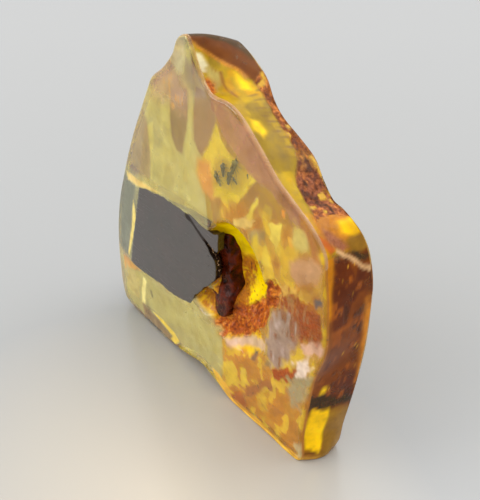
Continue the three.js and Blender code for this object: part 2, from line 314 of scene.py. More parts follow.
# Spots on the face, from the deepest to the uppermost: outline, tint, softness, film, crust.
FACE_SPOTS = (
    # Painted highlight: a bright yellow strip of refracted light along the top of the large wing case.
    (((-16.6, 21.8), (-13.6, 22.4), (-10.4, 22.7), (-7.0, 22.9), (-10.0, 22.2), (-13.2, 21.4),
     (-16.2, 20.9)), (0.90, 0.66, 0.20), 0.25, 0.8, 0),
    # Painted glint: a bright yellow line along the ridge where the left facet starts.
    (((-14.5, 18.9), (-14.0, 18.0), (-14.0, 16.6), (-15.0, 13.6), (-17.0, 9.4), (-17.3, 9.7),
     (-16.2, 12.6), (-15.2, 15.4), (-14.9, 17.4)), (0.95, 0.76, 0.20), 0.25, 0.85, 0),
    (((-19.4, 8.2), (-17.8, 8.9), (-13.9, 8.7), (-16.4, 7.6), (-18.0, 6.6), (-19.2, 6.0)),
     (0.85, 0.42, 0.08), 0.8, 0.6, 0),
    (((-18.2, 7.4), (-14.4, 7.4), (-15.2, 3.4), (-17.9, 3.0), (-19.0, 5.3)), (0.88, 0.74, 0.26), 0.9,
     0.45, 0),
    (((-14.6, 3.2), (-14.2, 5.6), (-13.4, 8.1), (-12.7, 7.7), (-13.2, 5.6), (-13.6, 3.4)),
     (1.0, 0.90, 0.34), 0.3, 0.8, 0),
    (((-14.3, 3.1), (-11.9, 3.0), (-7.4, 2.0), (-6.9, 0.9), (-11.0, 0.7), (-14.3, 1.0)),
     (0.34, 0.24, 0.12), 0.4, 0.75, 0),
    (((-12.0, 3.3), (-9.2, 3.5), (-6.5, 3.1), (-5.5, 2.3), (-6.6, 1.0), (-7.7, 1.2), (-7.1, 2.2),
     (-9.6, 2.8)), (0.98, 0.74, 0.10), 0.25, 0.85, 0),
    (((1.4, 3.0), (3.5, 2.7), (6.2, 1.4), (7.1, 0.2), (4.8, 0.1), (2.6, 0.9)), (0.98, 0.56, 0.05), 0.3,
     0.6, 0),
    (((4.9, 1.4), (6.9, 3.1), (8.0, 2.4), (7.7, 0.4), (6.3, 0.2)), (0.44, 0.13, 0.018), 0.5, 0.75, 0),
    (((7.3, 2.4), (7.8, 4.4), (9.7, 6.7), (12.0, 8.6), (12.4, 8.0), (9.4, 4.4)), (0.40, 0.15, 0.035),
     0.4, 0.7, 0),
    (((4.2, 8.9), (6.5, 10.7), (9.3, 12.3), (11.2, 13.4), (11.0, 12.1), (7.9, 10.3), (4.7, 8.4)),
     (0.84, 0.58, 0.40), 0.5, 0.6, 0),
    (LOW_GLINT, (1.0, 0.72, 0.04), 0.3, 0.45, 0),
    (NARROW_GLINT, (1.0, 0.74, 0.05), 0.25, 0.5, 0),
    (((16.2, 16.6), (17.9, 17.9), (18.9, 17.9), (18.6, 16.5), (17.1, 15.2), (16.3, 15.4)),
     (0.72, 0.44, 0.30), 0.5, 0.8, 0),
    (((14.6, 10.8), (16.1, 12.3), (17.8, 13.2), (17.4, 11.0), (16.3, 7.9), (14.9, 7.4)),
     (0.44, 0.40, 0.22), 0.9, 0.55, 0),
    (((12.1, 10.3), (14.0, 12.0), (15.8, 12.9), (15.6, 11.5), (13.8, 9.9), (12.3, 9.2)),
     (0.40, 0.085, 0.010), 0.4, 0.8, 0.6),
    (((15.2, 13.0), (15.6, 14.0), (16.4, 14.6), (17.4, 15.2), (17.6, 14.2), (17.0, 13.2), (16.6, 12.2),
     (15.8, 11.6), (15.6, 12.4)), (0.90, 0.76, 0.62), 0.6, 0.85, 0),
    (((15.9, 2.4), (16.8, 3.5), (17.2, 1.1), (16.3, 0.2)), (0.72, 0.56, 0.26), 0.5, 0.6, 0),
    (((8.8, 10.5), (9.7, 10.8), (9.8, 9.6), (9.0, 9.4)), (0.16, 0.12, 0.09), 0.5, 0.6, 0),
    (((-2.8, 22.6), (-1.9, 22.6), (0.0, 21.9), (1.6, 21.4), (3.1, 21.6), (3.4, 20.4), (3.1, 19.2),
     (2.6, 18.2), (0.4, 20.2), (-1.2, 21.2), (-2.6, 21.8)), (0.02, 0.012, 0.008), 0.15, 1.0, 0.3),
    (((10.9, 10.9), (11.6, 11.1), (11.6, 9.9), (11.0, 9.9)), (0.20, 0.16, 0.12), 0.5, 0.5, 0),
    (((17.2, 22.4), (17.9, 23.0), (18.3, 22.6), (18.0, 21.4), (17.4, 21.2)), (0.13, 0.115, 0.11), 0.4,
     0.85, 0),
    (((-12.0, 6.8), (-11.5, 6.9), (-11.2, 5.8), (-11.6, 5.7)), (0.16, 0.15, 0.12), 0.3, 0.7, 0),
)
# Places on the thick edge: s counts the points of the rims, and t runs from 0 at the front rim to 1
# at the back. They go from the deepest to the uppermost: outline, tint, softness, film, crust.
EDGE_SPOTS = (
    (((16.6, 0.5), (16.1, 0.7), (15.6, 0.66), (15.9, 0.45)), (1.0, 0.64, 0.0), 0.15, 0.92, 0),
    (((13.9, 0.15), (13.8, 0.34), (13.3, 0.38), (13.0, 0.2), (13.3, 0.08)), (0.95, 0.62, 0.0), 0.2,
     0.92, 0),
    (((18.6, -0.1), (18.0, 0.12), (17.4, 0.33), (16.9, 0.52), (16.4, 0.67), (15.9, 0.82), (15.5, 1.1),
     (20.4, 1.1), (20.2, -0.1)), (0.145, 0.040, 0.002), 0.08, 1.0, 0),
    # Painted shadow: near-black film on the thick edge at the slab's top point, left of its peak.
    (((18.9, -0.1), (18.3, 0.45), (18.1, 0.75), (17.2, 0.9), (17.0, 1.1), (20.4, 1.1), (20.2, -0.1)),
     (0.065, 0.032, 0.004), 0.25, 1.0, 0),
    (((18.5, 0.0), (18.0, 0.14), (17.4, 0.36), (16.9, 0.56), (16.4, 0.71), (16.3, 0.66), (16.9, 0.47),
     (17.4, 0.28), (18.0, 0.06)), (0.62, 0.24, 0.02), 0.1, 0.9, 0.3),
    (((17.8, 0.0), (17.6, 0.14), (17.1, 0.18), (16.8, 0.15), (16.9, -0.1), (17.5, -0.1)),
     (0.66, 0.60, 0.36), 0.1, 0.9, 0),
    (((17.1, 0.08), (17.0, 0.22), (16.7, 0.32), (16.3, 0.27), (16.2, 0.16), (16.7, 0.1)),
     (0.52, 0.42, 0.10), 0.1, 0.7, 0),
    (((17.0, 0.2), (16.7, 0.34), (16.2, 0.3), (15.6, 0.34), (15.3, 0.3), (15.9, 0.26), (16.3, 0.24),
     (16.7, 0.28)), (0.28, 0.12, 0.01), 0.06, 0.8, 0),
    (((16.7, -0.1), (16.6, 0.1), (16.4, 0.2), (16.1, 0.14), (15.9, 0.0), (16.1, -0.1)),
     (0.50, 0.13, 0.012), 0.1, 0.9, 0.9),
    (((8.7, 0.1), (8.6, 1.1), (7.0, 1.1), (6.6, 0.6), (7.4, 0.0)), (0.50, 0.19, 0.008), 0.25, 0.92,
     0.2),
    (((8.2, 0.62), (8.4, 1.1), (7.5, 1.1), (7.1, 0.8), (7.6, 0.55)), (0.85, 0.50, 0.0), 0.2, 0.95, 0),
    (((7.2, 0.5), (7.4, 1.1), (6.6, 1.1), (6.5, 0.6)), (0.26, 0.13, 0.01), 0.25, 0.92, 0),
    (((8.1, 0.2), (7.6, 0.4), (6.9, 0.6), (6.7, 0.45), (7.0, 0.3), (7.6, 0.16)), (0.34, 0.12, 0.05),
     0.15, 0.9, 0.5),
    (((7.9, 0.0), (7.6, 0.16), (7.0, 0.3), (6.8, 0.14), (7.4, 0.0)), (0.53, 0.12, 0.01), 0.12, 0.9, 0),
    (((6.7, 0.58), (6.45, 0.9), (6.1, 1.05), (6.2, 0.7)), (0.05, 0.03, 0.012), 0.15, 0.95, 0),
    (((7.0, 0.3), (6.5, 0.57), (6.0, 0.85), (5.8, 1.1), (5.6, 1.1), (5.85, 0.8), (6.35, 0.5),
     (6.8, 0.26)), (0.72, 0.44, 0.20), 0.08, 0.85, 0),
    (((6.8, -0.1), (6.7, 0.18), (6.1, 0.16), (5.3, 0.08), (4.8, 0.09), (4.7, -0.1)), (0.55, 0.20, 0.0),
     0.12, 1.0, 0),
    (((4.8, -0.1), (4.7, 0.1), (3.4, 0.12), (2.6, 0.1), (2.6, -0.1)), (0.24, 0.07, 0.006), 0.12, 1.0,
     0),
    (((2.5, -0.1), (2.35, 0.25), (2.0, 0.7), (1.9, 1.1), (1.7, 1.1), (1.75, 0.65), (1.85, 0.18),
     (1.9, -0.1)), (0.045, 0.022, 0.005), 0.08, 0.95, 0),
    (((1.75, 0.38), (1.6, 1.1), (0.2, 1.1), (0.1, 0.3), (1.2, 0.4)), (0.30, 0.15, 0.008), 0.2, 0.9, 0),
    (((1.85, 0.05), (1.8, 0.42), (1.3, 0.44), (0.7, 0.38), (0.4, 0.3), (0.5, 0.0), (1.2, 0.0)),
     (1.0, 0.62, 0.0), 0.1, 0.96, 0),
    (((2.6, 0.2), (2.5, 0.34), (2.3, 0.3), (2.35, 0.18)), (0.95, 0.62, 0.0), 0.1, 0.95, 0),
    (((4.9, 0.84), (4.6, 1.1), (2.2, 1.1), (2.4, 0.95), (4.0, 0.88)), (0.62, 0.22, 0.01), 0.15, 0.9, 0),
)
TOP_CRUST = (
    (16.5, 0.92), (16.1, 0.75), (15.5, 0.78), (14.7, 0.81), (13.9, 0.80), (13.1, 0.74), (12.3, 0.67),
    (11.6, 0.52), (11.0, 0.38), (10.5, 0.33), (9.9, 0.30), (8.8, 0.22), (8.3, 0.2), (8.6, 0.6),
    (8.4, 1.1), (16.5, 1.1),
)
SAGE, MAUVE = (0.80, 0.76, 0.34), (0.50, 0.25, 0.15)
ORANGE = (0.46, 0.10, 0.005)


def face_marks(x, z, gap, shelf, wall):
    """Films and crust on the polished face and in the pit, with painted glints by the beetle, a painted
    glow and highlight on the pit wall and a painted glow along the foot.
    """
    flat = np.stack([x, 0 * x, z], -1)
    wave = 0.04 + 0.16 * rise(x, 1, 3) + 0.25 * rise(x, 9, 11) * rise(-z, -24, -21)
    marks = Marks(x + wave * lumps(flat, 0.6, 45), z + wave * lumps(flat, 0.6, 46))
    marks.lay(VEIL, SAGE, 0.4, film=0.32)
    for lobe in (LOBE_LEFT, LOBE_RIGHT):
        marks.lay(lobe, (0.66, 0.50, 0.32), 0.5, film=0.16)
    marks.lay(FAR_TAN, (0.76, 0.62, 0.36), 0.5, film=0.22)
    golden = rise(x + 0.3 * lumps(flat, 1.0, 49), 3.4, 4.2) * (1 - rise(z, 27, 29))
    swirl = lumps(flat * (1, 1, 0.7) + 0.9 * lumps(flat, 2.3, 50)[..., None], 1.1, 51)
    swirl = swirl + 0.45 * lumps(flat, 0.45, 57) * rise(-z, -13, -9)
    marks.lay(golden, (1.0, 0.56, 0.03), film=0.26)
    marks.lay(golden * 0.8 * rise(-z, -13, -9), (0.74, 0.31, 0.02), film=0.45)
    marks.lay(golden * rise(swirl, 0.05, 0.3), (1.0, 0.68, 0.03), film=0.45)
    marks.lay(golden * rise(-swirl, 0.1, 0.45), (0.60, 0.25, 0.022), film=0.5)
    for outline, tint, soft in FLOW_SHARDS:
        marks.lay(outline, tint, soft, film=0.5)
    marks.lay(TEARDROP, (1.0, 0.80, 0.07), 0.4, film=0.42)
    marks.lay(PEACH, (1.0, 0.52, 0.10), 1.0, film=0.36)
    marks.lay(TEARDROP_HEART, (1.0, 0.78, 0.03), 0.8, film=0.45)
    marks.lay(GNAT_WINDOW, (1.0, 0.80, 0.07), 1.2, film=0.1)
    marks.lay(MAUVE_BAND, MAUVE, 0.3, film=0.5)
    marks.lay(BAND_END, (0.32, 0.14, 0.07), 0.5, film=0.6)
    marks.lay(FROSTED_TOP, (0.72, 0.48, 0.34), 2.4, film=0.42, frost=0.8)
    fibres = rise(lumps(flat * (1, 1, 0.2), 0.22, 36), 0.15, 0.6)
    marks.lay(rise(margin(FIBRES, x, z), 0, 1.2) * fibres, (0.90, 0.50, 0.14), film=0.55)
    marks.lay(GREY_TOP, (0.42, 0.34, 0.27), 0.5, film=0.45)
    marks.lay(PALE_TIP, (0.74, 0.68, 0.40), 0.9, film=0.5)
    marks.lay(rise(beyond_ridge(x, z), 0.5, 1.2) * (z > 9) * (z < 21), (0.30, 0.32, 0.20), film=0.5)
    # Partly the amber's own yellow and partly painted glow: the pit wall is filmed bright yellow to
    # stand in for the light it refracts.
    marks.lay(wall, (1.0, 0.72, 0.0), film=0.95)
    marks.lay(wall * rise(-z, -14, -12.5), (0.86, 0.52, 0.0), film=0.95)
    stain = 0.4 * lumps(flat, 1.1, 4) + 0.5 * lumps(flat, 0.25, 5) + 1.3 * rise(-x, -6.2, -5.0)
    marks.lay(wall * rise(stain, 0.3, 1.2), (0.56, 0.20, 0.003), film=0.9, crust=0.5)
    marks.lay(wall * rise(lumps(flat, 0.25, 47), 0.78, 0.85), (0.20, 0.06, 0.006), film=0.9)
    # Painted highlight: the upper pit wall, which faces down, is filmed brighter still.
    marks.lay(wall * rise(z, 18.6, 20.2), (1.0, 0.76, 0.0), film=1.0, crust=0.0)
    streaks = 0.8 * lumps(flat * (1, 1, 0.2), 0.3, 21) + 0.6 * lumps(flat, 0.9, 39)
    near = rise(margin(LILAC_PATCH, x, z) + 0.5 * lumps(flat, 0.8, 40), -0.6, 0.6)
    marks.lay(near, (0.38, 0.27, 0.21), film=0.75)
    stripes = rise(lumps(flat * (1, 1, 0.2), 0.3, 48), -0.1, 0.3)
    striped = rise(margin(STRIPES, x, z), -0.2, 0.4)
    marks.lay(striped, (0.98, 0.60, 0.10), film=0.5)
    marks.lay(striped * stripes, (0.50, 0.17, 0.025), film=0.75, crust=0.3)
    for outline, tint, soft, film, crust in FACE_SPOTS:
        marks.lay(outline, tint, soft, film=film, crust=crust)
    ragged = margin(RUSTY, x, z) + 0.7 * lumps(flat, 1.0, 58) + 0.6 * lumps(flat, 0.35, 59)
    marks.lay(rise(ragged, -0.2, 0.8), (0.33, 0.07, 0.010), film=0.8, crust=0.5)
    streaked = rise(margin(RUSTY, x, z), 0, 0.6) * rise(streaks, 0.3, 0.6)
    marks.lay(streaked, (0.42, 0.16, 0.06), film=0.6, crust=0.4)
    speckled = streaks + 0.6 * rise(z, 16.5, 18.5)
    marks.lay(near * rise(speckled, 0.35, 0.7), (0.34, 0.13, 0.06), film=0.7, crust=0.45)
    marks.lay(near * rise(-streaks, 0.35, 0.8), (0.50, 0.38, 0.33), film=0.8)
    marks.lay(shelf, ORANGE, film=0.5, crust=1.0)
    tones = 0.8 * lumps(flat, 0.9, 37) + 0.8 * lumps(flat, 0.3, 38)
    marks.lay(shelf * rise(tones, 0.2, 0.7), (0.68, 0.22, 0.016), film=0.5)
    marks.lay(shelf * rise(-tones, 0.3, 0.8), (0.24, 0.045, 0.006), film=0.5)
    edge = 1 - rise(gap, 0.0, 0.14)
    marks.lay(edge * (x > 1) * (z > 26), (0.66, 0.40, 0.20), film=0.45)
    marks.lay(edge * (x < 1) * (z > 3), (0.70, 0.40, 0.12), film=0.3)
    marks.lay(edge * (x > 9) * (z < 26), (0.44, 0.17, 0.02), film=0.8)
    # Painted glow: golden film with brighter streaks along the foot, standing in for light the amber
    # carries down to its foot, over its dark contact with the table.
    foot = (1 - rise(z + 0.3 * lumps(flat, 1.2, 24), 0.5, 1.1)) * (x > -5)
    marks.lay(foot, (0.85, 0.42, 0.03), film=0.8)
    marks.lay(foot * rise(lumps(flat * (0.35, 1, 4), 1.0, 25), 0, 0.2), (1.0, 0.64, 0.06), film=0.85)
    return marks


def edge_marks(s, t, p):
    """Films and crust on the thick edge, at places s and t and points p, with a painted shadow at the
    top point and a painted glow along the foot.
    """
    ragged = 0.6 * lumps(p, 2.2, 8) + 0.4 * lumps(p, 0.8, 7)
    marks = Marks(s + 0.12 * lumps(p, 0.9, 28), t + 0.05 * ragged)
    top = rise(s, 6.6, 7.0) * (1 - rise(s, 20.0, 20.6))
    right = np.maximum(1 - rise(s, 6.3, 6.7), s > 43.7)
    left = (s > 20.3) * (s < 43)
    marks.lay(top, (0.42, 0.27, 0.003), film=0.93)
    clouds = lumps(p * (1, 1, 0.6), 2.0, 26) + 0.4 * lumps(p, 0.7, 27)
    marks.lay(top * rise(clouds, 0.2, 0.5), (0.52, 0.28, 0.0), film=0.97)
    marks.lay(top * rise(-clouds, 0.1, 0.4), (0.28, 0.18, 0.005), film=0.95)
    ribs = rise(np.sin(24 * s + 5 * t), 0.3, 0.9) * rise(t, 0.35, 0.6) * rise(s, 11.6, 12.2)
    marks.lay(top * ribs * (1 - rise(s, 15.6, 16)), (0.26, 0.15, 0.01), film=0.85)
    marks.lay(right, (0.118, 0.023, 0.002), film=1.0)
    marks.lay(right * rise(clouds, 0.0, 0.25), (0.20, 0.048, 0.002), film=1.0)
    shaded = right * rise(ragged, 0.15, 0.4) * rise(t, 0.3, 0.4)
    marks.lay(shaded, (0.09, 0.022, 0.003), film=1.0, crust=0.4)
    glowing = rise(lumps(p, 1.0, 54) + 0.6 * lumps(p, 0.4, 55), 0.35, 0.6)
    marks.lay(right * glowing, (0.30, 0.075, 0.004), film=1.0)
    marks.lay(right * rise(lumps(p, 0.25, 56), 0.8, 0.86), (0.62, 0.30, 0.02), film=1.0)
    marks.lay(right * (1 - rise(s, 0.15, 0.5)), (0.62, 0.32, 0.02), film=0.9)
    for outline, tint, soft, film, crust in EDGE_SPOTS:
        marks.lay(outline, tint, soft, film=film, crust=crust)
    wide = rise(-s, -12.6, -11.2)
    crusted = rise(margin(TOP_CRUST, marks.x, marks.z), -0.04, 0.06)
    tones = 0.8 * lumps(p, 0.8, 29) + 0.8 * lumps(p, 0.3, 30)
    marks.lay(crusted * (1 - wide), (0.22, 0.055, 0.001), film=0.6, crust=1)
    marks.lay(crusted * wide, (0.31, 0.092, 0.026), film=0.6, crust=1)
    marks.lay(crusted * rise(tones, 0.2, 0.6), (0.58, 0.20, 0.035), film=0.6)
    marks.lay(crusted * rise(-tones, 0.2, 0.5), (0.13, 0.03, 0.004), film=0.6)
    threads = lumps(p * (1, 1, 0.3), 0.7, 52) + 0.5 * lumps(p, 1.8, 53)
    marks.lay(crusted * rise(threads, 0.35, 0.6), (0.09, 0.025, 0.004), film=0.6)
    marks.lay(crusted * rise(-threads, 0.5, 0.7), (0.62, 0.36, 0.02), film=0.8, crust=0.2)
    weathered = left * rise(ragged, 0.0, 0.35) * rise(t, 0.15, 0.5)
    marks.lay(weathered, (0.42, 0.17, 0.035), film=0.4, crust=0.9)
    # Painted glow: golden film along the foot of the thick edge, standing in for light carried down
    # through the amber.
    foot = (1 - rise(p[..., 2], 0.2, 0.9)) * left
    marks.lay(foot * rise(t, 0.02, 0.1), (0.75, 0.42, 0.06), film=0.8)
    marks.lay((1 - rise(t, 0.0, 0.015)) * top, (0.66, 0.40, 0.16), film=0.5)
    return marks


def slab():
    """The slab's rows of points, from the middle of its face round to the middle of its back."""
    face_rim, back_rim = rounded(FACE_RIM, AROUND), rounded(BACK_RIM, AROUND)
    pole = np.array(PIT_MIDDLE)
    reach = np.hypot(*(face_rim - pole).T)
    along = np.roll(face_rim, -1, 0) - np.roll(face_rim, 1, 0)
    outward = np.stack([along[:, 1], -along[:, 0]], 1) / np.hypot(*along.T)[:, None]

    inner = np.linspace(1, 0, FACE_ROWS, endpoint=False)[:, None]
    turned = np.linspace(0, np.pi / 2, TURN_ROWS)[:, None]
    turn = FACE_EDGE * (1 - np.sin(turned)) + 0 * reach
    gap = np.vstack([FACE_EDGE + (reach - FACE_EDGE) * inner, turn])
    x, z = np.moveaxis(face_rim + (pole - face_rim) * np.minimum(gap / reach, 1)[..., None], -1, 0)
    flat = np.stack([x, 0 * x, z], -1)
    pit = pit_depth(x, z)
    wall = rise(pit, 0.15, 0.9)
    shelf = rise(margin(PIT_SHELF, x, z) + 0.4 * lumps(flat, 0.6, 22), -0.4, 0.4)
    grains = (0.32 + 0.2 * lumps(flat, 0.5, 1) + 0.12 * lumps(flat, 0.28, 2)) * shelf
    ripples = 0.16 * lumps(flat, 1.3, 3) * wall * (1 - shelf)
    round_off = FACE_EDGE * (1 - np.sqrt(1 - np.clip(1 - gap / FACE_EDGE, 0, 1) ** 2))
    face = np.stack([x, face_depth(x, z) + pit + grains + ripples + round_off, z], -1)
    parts = [(face, face_marks(x, z, gap, shelf, wall))]

    t = np.linspace(0, 1, EDGE_ROWS + 2)[1:-1, None]
    straight = face[-1] + (back_rim[:, [0, 2, 1]] - face[-1]) * t[..., None]
    x, y, z = np.moveaxis(straight, -1, 0)
    up = rise(outward[:, 1], 0.25, 0.45) + 0 * t
    s = np.arange(AROUND) / AROUND * len(FACE_RIM) + 0 * t
    marks = edge_marks(s, t + 0 * x, straight)
    swell = np.sin(np.pi * t)
    heel = np.where(x > 8, np.clip(1 - z / HEEL_HEIGHT, 0, 1) ** 2, 0)
    crest = np.clip(z - CREST_FOOT, 0, None) / 5
    dent = (0.10 * lumps(straight, 0.5, 9) + 0.08 * lumps(straight, 0.28, 10) - 0.16) * marks.crust
    dent = dent + (0.12 * lumps(straight, 3.0, 11) - 0.1) * swell
    notch = up * rise(x, -1.2, 0) * (1 - rise(x, 2.4, 3.6)) * (1 - rise(t, 0.1, 0.3)) * swell
    dent = dent - 1.2 * notch * (0.5 + 0.5 * lumps(straight, 0.9, 23))
    x = x + swell * heel + outward[:, 0] * dent
    z = z + 0.5 * swell * crest + outward[:, 1] * dent * (z > 0.5)
    parts.append((np.stack([x, y, z], -1), marks))

    out = np.linspace(1, 0, BACK_ROWS)[:, None]
    x, z = np.moveaxis(pole + (back_rim[:, :2] - pole) * out[..., None], -1, 0)
    flat = np.stack([x, 0 * x, z], -1)
    marks = Marks(x, z)
    marks.frost += 0.3 + 0.5 * rise(lumps(flat * (1, 1, 0.35), 1.8, 16), -0.2, 0.1)
    marks.lay(0.5 + 0.5 * lumps(flat * (1, 1, 0.4), 3.0, 17), (0.95, 0.66, 0.16), film=0.3)
    patches = lumps(flat, 4.5, 12) + 0.5 * lumps(flat, 1.6, 13) + 1.2 * rise(out, 0.8, 1)
    crust = rise(patches, 0.85, 1.1)
    marks.lay(crust, (0.40, 0.15, 0.03), film=0.5, crust=1.0)
    y = BACK_DEPTH + (back_rim[:, 2] - BACK_DEPTH) * out + BACK_CROWN * (1 - out**2)
    y = y - (0.12 * lumps(flat, 0.6, 14) + 0.14) * crust * (1 - rise(out, 0.97, 1))
    y = y + 0.2 * lumps(flat, 5, 15)
    parts.append((np.stack([x, y, z], -1), marks))

    rows = np.concatenate([rows for rows, _ in parts])
    rows[..., 0] = np.minimum(rows[..., 0], MOST_X)
    rows[..., 2] = np.clip(rows[..., 2], 0, HEIGHT)
    whole = Marks(rows[..., 0], rows[..., 2])
    for key in ("film", "crust", "frost", "tint"):
        setattr(whole, key, np.concatenate([getattr(part, key) for _, part in parts]))
    return rows, whole, outward


class Number:
    """A number socket of a finish, so that sums of sockets read as sums."""

    def __init__(self, finish, socket):
        self.finish, self.socket = finish, socket

    def _sum(self, operation, first, second, clamp=False):
        settings = {"operation": operation, "use_clamp": clamp}
        return Number(self.finish, self.finish.node("ShaderNodeMath", settings, {0: first, 1: second}))

    def __add__(self, other):
        return self._sum("ADD", self, other)

    def __sub__(self, other):
        return self._sum("SUBTRACT", self, other)

    def __rsub__(self, other):
        return self._sum("SUBTRACT", other, self)

    def __mul__(self, other):
        return self._sum("MULTIPLY", self, other)

    def __gt__(self, edge):
        return self._sum("GREATER_THAN", self, edge)

    def or_more(self, other):
        return self._sum("MAXIMUM", self, other)

    def clamped(self):
        return self._sum("ADD", self, 0.0, clamp=True)

    __radd__ = __add__
    __rmul__ = __mul__


class Finish:
    """A material, or the world, and its nodes."""

    def __init__(self, name, of_world=False):
        self.material = (bpy.data.worlds if of_world else bpy.data.materials).new(name)
        self.material.use_nodes = True
        self.nodes = self.material.node_tree.nodes
        self.links = self.material.node_tree.links
        self.nodes.clear()
        self.output = self.nodes.new("ShaderNodeOutputWorld" if of_world else "ShaderNodeOutputMaterial")

    def node(self, kind, settings=None, sockets=None, out=0):
        """Makes a node: its settings first, then the values or links of its sockets."""
        made = self.nodes.new(kind)
        for name, value in (settings or {}).items():
            setattr(made, name, value)
        for name, value in (sockets or {}).items():
            value = getattr(value, "socket", value)
            if isinstance(value, bpy.types.NodeSocket):
                self.links.new(value, made.inputs[name])
            else:
                made.inputs[name].default_value = value
        return made.outputs[out]

    def number(self, *args, **kwargs):
        return Number(self, self.node(*args, **kwargs))

    def mark(self, name):
        return self.number("ShaderNodeAttribute", {"attribute_name": name}, out="Fac")

    def tint(self):
        return self.node("ShaderNodeAttribute", {"attribute_name": "tint"}, out="Color")

    def place(self, stretch=(1, 1, 1)):
        """Object coordinates, stretched."""
        here = self.node("ShaderNodeTexCoord", out="Object")
        return self.node("ShaderNodeVectorMath", {"operation": "MULTIPLY"}, {0: here, 1: stretch})

    def noise(self, size, detail, stretch=(1, 1, 1)):
        """A noise whose patches are about size millimetres wide."""
        sockets = {"Vector": self.place(stretch), "Scale": 1 / (size * MM), "Detail": detail}
        return self.number("ShaderNodeTexNoise", {"noise_dimensions": "3D"}, sockets)

    def mix(self, amount, first, second):
        """A colour between two colours."""
        return self.node("ShaderNodeMix", {"data_type": "RGBA"}, {0: amount, 6: first, 7: second}, out=2)

    def shaded(self, colour, shade):
        """A colour multiplied by another."""
        return self.node("ShaderNodeVectorMath", {"operation": "MULTIPLY"}, {0: colour, 1: shade})

    def solid(self, **sockets):
        named = {name.replace("_", " "): value for name, value in sockets.items()}
        return self.node("ShaderNodeBsdfPrincipled", {}, named)

    def bump(self, height, distance):
        sockets = {"Height": height, "Distance": distance * MM, "Strength": 1.0}
        return self.node("ShaderNodeBump", {}, sockets)

    def blend(self, amount, first, second):
        """A surface between two surfaces."""
        return self.node("ShaderNodeMixShader", {}, {0: amount, 1: first, 2: second})

    def surface(self, shader):
        self.links.new(shader, self.output.inputs["Surface"])

    def inside(self, shader):
        self.links.new(shader, self.output.inputs["Volume"])


def amber_finish():
    """Golden amber, clear where polished, under films of old skin and rough crust where marked, and
    under films of painted glints, glow and shadow.
    """
    finish = Finish("amber")
    film, crust = finish.mark("film"), finish.mark("crust")
    clear = finish.solid(Base_Color=(1, 1, 1, 1), IOR=1.54, Transmission_Weight=1.0,
                         Roughness=finish.mark("frost") * 0.35 + 0.02)
    grain, mottle = finish.noise(0.3, 5), finish.noise(1.5, 4)
    deep = finish.shaded(finish.tint(), (0.42, 0.29, 0.22))
    light = finish.shaded(finish.tint(), (1.15, 1.12, 1.1))
    shade = (grain * 2.6 - 0.9) * crust + (mottle * 1.2 - 0.35) * (1 - crust)
    covered = finish.solid(Base_Color=finish.mix(shade.clamped(), light, deep),
                           Roughness=crust * 0.2 + 0.25, Specular_IOR_Level=0.12,
                           Coat_Weight=crust * 0.15, Coat_Roughness=0.15,
                           Normal=finish.bump(grain * crust, 0.3))
    ragged = (crust * 2 + finish.noise(0.9, 5) * 1.2 - 1.5) * 5
    thin = film * (finish.noise(1.1, 4) * 0.8 + 0.6)
    finish.surface(finish.blend(thin.or_more(ragged).clamped(), clear, covered))
    finish.inside(finish.node("ShaderNodeVolumeAbsorption", {}, {
        "Color": (0.9965, 0.965, 0.0, 1), "Density": 900.0}))
    return finish.material


slab_rows, slab_marks, slab_outward = slab()
amber = wrap("amber_slab", slab_rows, slab_marks)
amber.data.materials.append(amber_finish())
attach(amber, "root")
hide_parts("amber")

# ---- The flow layers --------------------------------------------------------------------------------
# The resin ran down the bark in several flows. Where one set before the next, thin hazy layers are left
# inside: a curtained one close behind the face, and a cloudy one that follows the back and the edges.
FLOW_DEPTH = 1.0
CLOUD_DEPTH = 1.1
CURTAIN_LEFT, CURTAIN_WIDTH, CURTAIN_HEIGHT, CURTAIN_STEP = -21.5, 40, 42, 0.25
CURTAIN_GAP = 0.5  # between the curtain and the face's rim
LEAN_X, LEAN_Z = 0.51, 0.425  # how far a deeper place shows aside, for each millimetre of depth
BEETLE_SPACE = (
    (-22, 22.9), (-9, 23.2), (-2, 23.3), (3.4, 23.0), (4.4, 20), (4.4, 9.0), (-2.4, 9.2), (-22, 7.6),
)
BRIGHT_LINES = (
    ((-1.4, 37.0), (-0.5, 37.1), (-0.7, 34.7), (-1.1, 32.4), (-1.6, 28.8), (-2.5, 25), (-3.2, 25),
     (-2.4, 29), (-1.7, 32.4)),
    ((-9.6, 30.6), (-8.3, 31.3), (-8.5, 29.0), (-9.0, 25.0), (-9.3, 23.1), (-9.9, 23.1), (-9.3, 26)),
    ((-14.5, 3.2), (-14.0, 6.6), (-13.1, 8.2), (-12.6, 7.6), (-13.3, 5.6), (-13.6, 3.6)),
    ((-11.9, 3.3), (-9.2, 3.5), (-6.5, 3.1), (-5.6, 2.4), (-6.6, 1.3), (-7.4, 1.6), (-7.0, 2.4),
     (-9.6, 2.8)),
)
